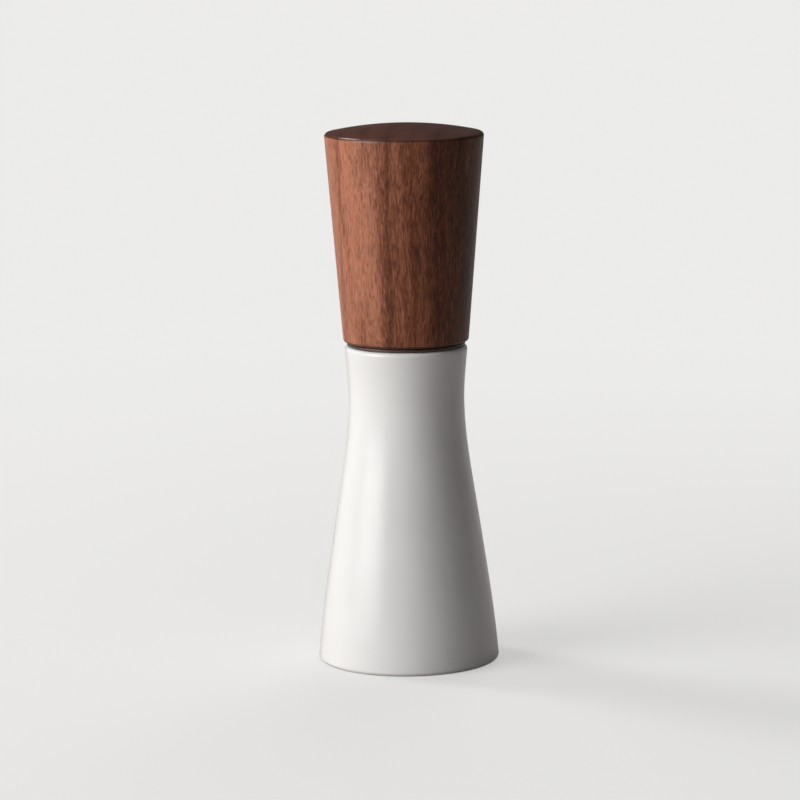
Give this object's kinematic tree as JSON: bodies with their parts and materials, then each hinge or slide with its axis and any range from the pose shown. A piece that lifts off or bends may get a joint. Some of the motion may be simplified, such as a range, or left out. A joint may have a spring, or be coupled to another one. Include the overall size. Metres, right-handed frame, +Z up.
{
  "type": "pepper mill",
  "caption": "Tall waisted pepper mill: glossy white ceramic body, lift-off turned wood head on a dark collar, and a conical burr grinder with its adjusting knob underneath.",
  "frame": {"origin": "centre of the foot ring's underside, where the mill stands on the table", "axes": "+Z up along the mill's axis, from the foot to the head; X and Y lie in the table"},
  "size_m": [0.0672, 0.0672, 0.2],
  "materials": {
    "walnut": "satin oiled",
    "white_glaze": "gloss glaze",
    "burr_ceramic": "matt",
    "collar_plastic": "satin",
    "black_plastic": "satin",
    "grey_plastic": "satin",
    "silicone": "matt",
    "aluminium": "drawn",
    "steel": "bright",
    "brass": "turned"
  },
  "bodies": {
    "body": {"body_shell": "white_glaze", "neck_collar": "collar_plastic", "base_funnel": "black_plastic", "base_gasket": "silicone", "base_cover": "black_plastic", "cover_screw_1": "steel", "cover_screw_2": "steel", "cover_screw_3": "steel", "grinder_housing": "grey_plastic", "burr_retainer": "black_plastic", "outer_burr": "burr_ceramic", "shaft_bridge": "grey_plastic"},
    "shaft": {"drive_shaft": "aluminium", "shaft_journal": "black_plastic", "shaft_clip": "steel", "burr_spring": "steel"},
    "rotor": {"inner_burr": "burr_ceramic", "feed_screw": "grey_plastic", "thrust_washer": "steel"},
    "knob": {"adjust_knob": "grey_plastic", "knob_nut": "brass"},
    "head": {"head_shell": "walnut", "head_insert": "collar_plastic", "spigot_ring": "silicone", "shaft_socket": "grey_plastic", "socket_grip": "steel", "insert_screw_1": "steel", "insert_screw_2": "steel", "insert_screw_3": "steel"}
  },
  "joints": [
    {"name": "grind", "type": "hinge", "parent": "body", "child": "shaft", "pos_m": [0, 0, 0.0362], "axis": [0, 0, 1], "continuous": true},
    {"name": "head_lift", "type": "slide", "parent": "shaft", "child": "head", "axis": [0, 0, 1], "range_m": [0, 0.055]},
    {"name": "burr_gap", "type": "slide", "parent": "shaft", "child": "rotor", "axis": [0, 0, 1], "range_m": [-0.0005, 0.0005], "deforming": ["burr_spring"]},
    {"name": "adjust", "type": "hinge", "parent": "rotor", "child": "knob", "pos_m": [0, 0, 0.0022], "axis": [0, 0, 1], "range_deg": [-180, 180]}
  ],
  "couplings": [
    {"joint": "adjust", "follows": "burr_gap", "rad_per_m": 6283.2}
  ]
}
